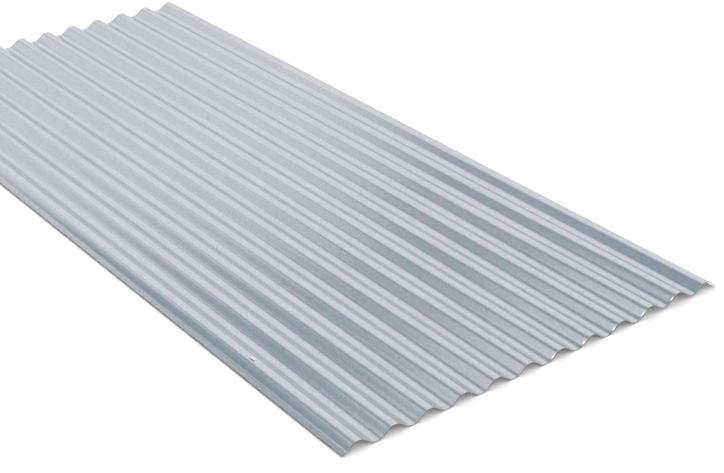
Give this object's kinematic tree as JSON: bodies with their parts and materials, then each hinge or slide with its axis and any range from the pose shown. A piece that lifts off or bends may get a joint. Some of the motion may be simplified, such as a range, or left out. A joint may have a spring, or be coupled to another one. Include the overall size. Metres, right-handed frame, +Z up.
{
  "type": "corrugated metal sheet",
  "caption": "Galvanised steel sheet roll-formed into parallel rounded corrugations, cut square at both ends, for roofing, cladding and fencing.",
  "frame": {"origin": "under the middle of the sheet, on the level plane that its valleys lie on", "axes": "+X across the corrugations from the left edge that starts just past a valley, +Y along the corrugations, +Z up out of the weather face"},
  "size_m": [0.9001, 2, 0.018],
  "materials": {
    "galvanised_steel": "satin hot-dip galvanised zinc, fine spangle"
  },
  "bodies": {
    "root": {"corrugated_sheet": "galvanised_steel"}
  },
  "joints": []
}
